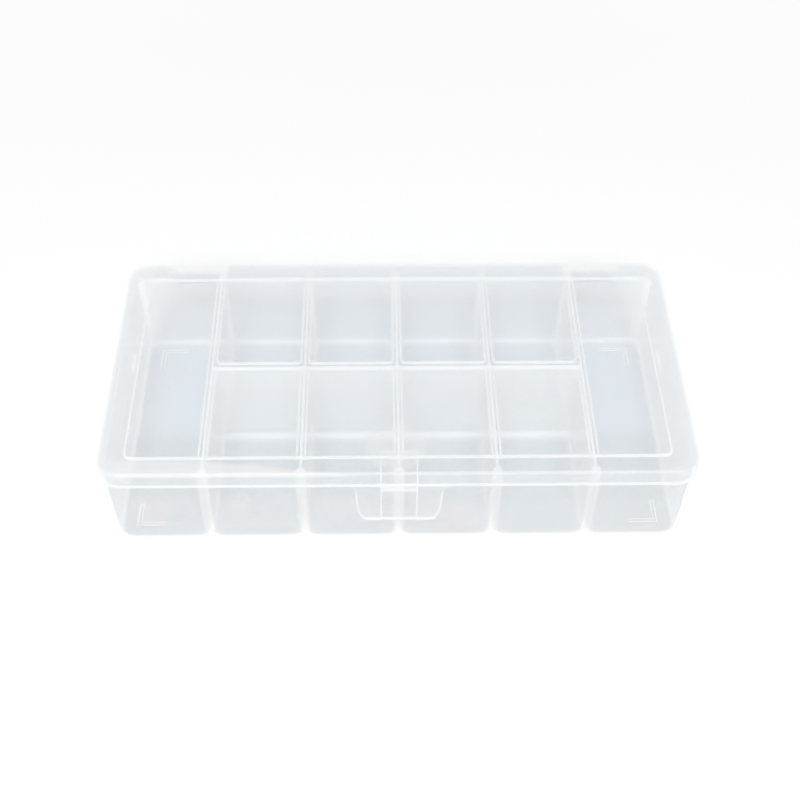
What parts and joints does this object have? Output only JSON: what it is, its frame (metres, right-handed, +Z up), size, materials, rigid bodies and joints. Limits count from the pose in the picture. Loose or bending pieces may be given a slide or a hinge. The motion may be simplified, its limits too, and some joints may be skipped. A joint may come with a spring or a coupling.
{
  "type": "compartment organizer box",
  "caption": "Clear plastic bead box with fixed full-depth and half-depth compartments under one hinged lid with a flexing front latch tab.",
  "frame": {"origin": "middle of the closed box's outline in plan, at the bottom of its feet", "axes": "+Z up, +X along the length to the right as seen from the latch side, +Y towards the hinges"},
  "size_m": [0.23, 0.1244, 0.045],
  "materials": {
    "clear_pp": "smooth translucent polypropylene"
  },
  "bodies": {
    "tub": {"tub": "clear_pp"},
    "lid": {"lid": "clear_pp"},
    "latch": {"latch_tab": "clear_pp"}
  },
  "joints": [
    {"name": "lid_hinge", "type": "hinge", "parent": "tub", "child": "lid", "pos_m": [0, 0.06025, 0.0343], "axis": [-1, 0, 0], "range_deg": [0, 180]},
    {"name": "latch_flex", "type": "hinge", "parent": "lid", "child": "latch", "pos_m": [0, -0.06165, 0.038], "axis": [-1, 0, 0], "range_deg": [0, 15], "stiffness_Nm_per_rad": 0.3}
  ]
}
